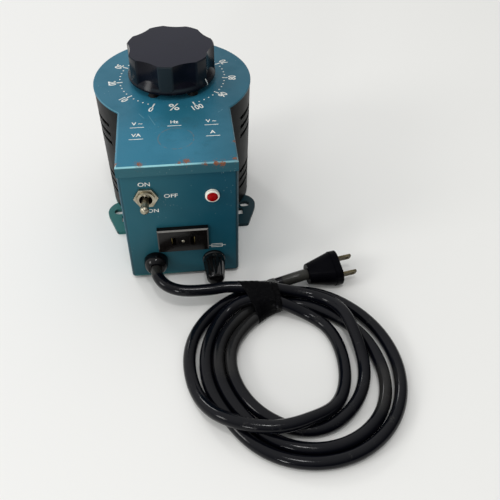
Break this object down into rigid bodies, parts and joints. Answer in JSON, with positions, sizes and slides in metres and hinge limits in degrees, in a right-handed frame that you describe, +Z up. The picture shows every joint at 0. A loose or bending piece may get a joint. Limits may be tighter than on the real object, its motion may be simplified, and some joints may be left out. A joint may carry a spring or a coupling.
{
  "type": "variable autotransformer",
  "caption": "Bench variable autotransformer in a round slotted cage with a front wiring box, fluted dial knob, toggle switch, pilot lamp, outlet, fuse post and coiled mains lead.",
  "frame": {"origin": "on the floor under the knob's shaft, at the base plate's lower face", "axes": "+Z up along the shaft, -Y out of the front panel, +X to the right as seen from the front"},
  "size_m": [0.2015, 0.3285, 0.13],
  "materials": {
    "teal_enamel": "semi-gloss baked enamel, worn at the bends",
    "charcoal_paint": "satin paint",
    "knob_black": "moulded phenolic, satin",
    "black_phenolic": "moulded phenolic",
    "cord_rubber": "smooth glossy jacket",
    "gland_rubber": "soft rubber",
    "tape_black": "glossy plastic tape",
    "nickel": "dull nickel plate",
    "steel": "turned steel",
    "rusty_steel": "dark, lightly rusted",
    "cast_aluminium": "as cast",
    "bronze": "sintered",
    "brass": "plain",
    "copper": "enamelled wire",
    "core_steel": "wound strip",
    "board_brown": "laminated paper board",
    "carbon": "pressed carbon",
    "white_plastic": "glossy",
    "red_lens": "clear red, glossy",
    "clear_glass": "clear"
  },
  "bodies": {
    "case": {"base_plate": "teal_enamel", "cage": "charcoal_paint", "dial_plate": "teal_enamel", "front_panel": "teal_enamel", "case_posts": "steel", "base_screws": "steel", "panel_screws": "rusty_steel", "frame_screws": "rusty_steel", "bearing_frame": "cast_aluminium", "upper_bush": "bronze", "lower_bush": "bronze", "core": "core_steel", "winding": "copper", "upper_insulator": "board_brown", "lower_insulator": "board_brown", "clamp_nut": "brass", "stop_washer": "steel", "switch_body": "black_phenolic", "switch_bushing": "nickel", "switch_nut": "nickel", "switch_pin": "steel", "lamp_bezel": "white_plastic", "lamp_lens": "red_lens", "lamp_tube": "clear_glass", "outlet_body": "black_phenolic", "outlet_contacts": "brass", "outlet_rivet": "nickel", "fuse_holder": "black_phenolic", "fuse_nut": "nickel", "board_posts": "steel", "terminal_board": "board_brown", "board_nuts": "nickel", "terminal_screws": "brass", "cord_gland": "gland_rubber", "cord_lead": "cord_rubber", "cord_coil": "cord_rubber", "cord_tail": "cord_rubber", "tape_wrap": "tape_black", "plug_body": "cord_rubber", "plug_blades": "brass"},
    "rotor": {"shaft": "steel", "knob": "knob_black", "knob_set_screw": "steel", "brush_arm": "cast_aluminium", "arm_set_screw": "steel", "brush_holder": "brass", "brush_spring": "steel"},
    "brush": {"carbon_brush": "carbon"},
    "lever": {"switch_lever": "nickel"},
    "fuse": {"fuse_tube": "clear_glass", "fuse_ends": "nickel"},
    "cap": {"fuse_cap": "black_phenolic"}
  },
  "joints": [
    {"name": "knob_turn", "type": "hinge", "parent": "case", "child": "rotor", "pos_m": [0, 0, 0.1], "axis": [0, 0, 1], "range_deg": [-30.1, 287.3]},
    {"name": "brush_lift", "type": "slide", "parent": "rotor", "child": "brush", "axis": [0, 0, 1], "range_m": [-0.0015, 0], "stiffness_N_per_m": 300, "springref_m": 0.004, "deforming": ["brush_spring"]},
    {"name": "switch_flip", "type": "hinge", "parent": "case", "child": "lever", "pos_m": [-0.0222, -0.1033, 0.078], "axis": [-1, 0, 0], "range_deg": [0, 26]},
    {"name": "fuse_pop", "type": "slide", "parent": "case", "child": "fuse", "axis": [0, -1, 0], "range_m": [0, 0.002]},
    {"name": "cap_turn", "type": "hinge", "parent": "fuse", "child": "cap", "pos_m": [0.021, -0.1053, 0.0161], "axis": [0, -1, 0], "range_deg": [0, 60]}
  ]
}
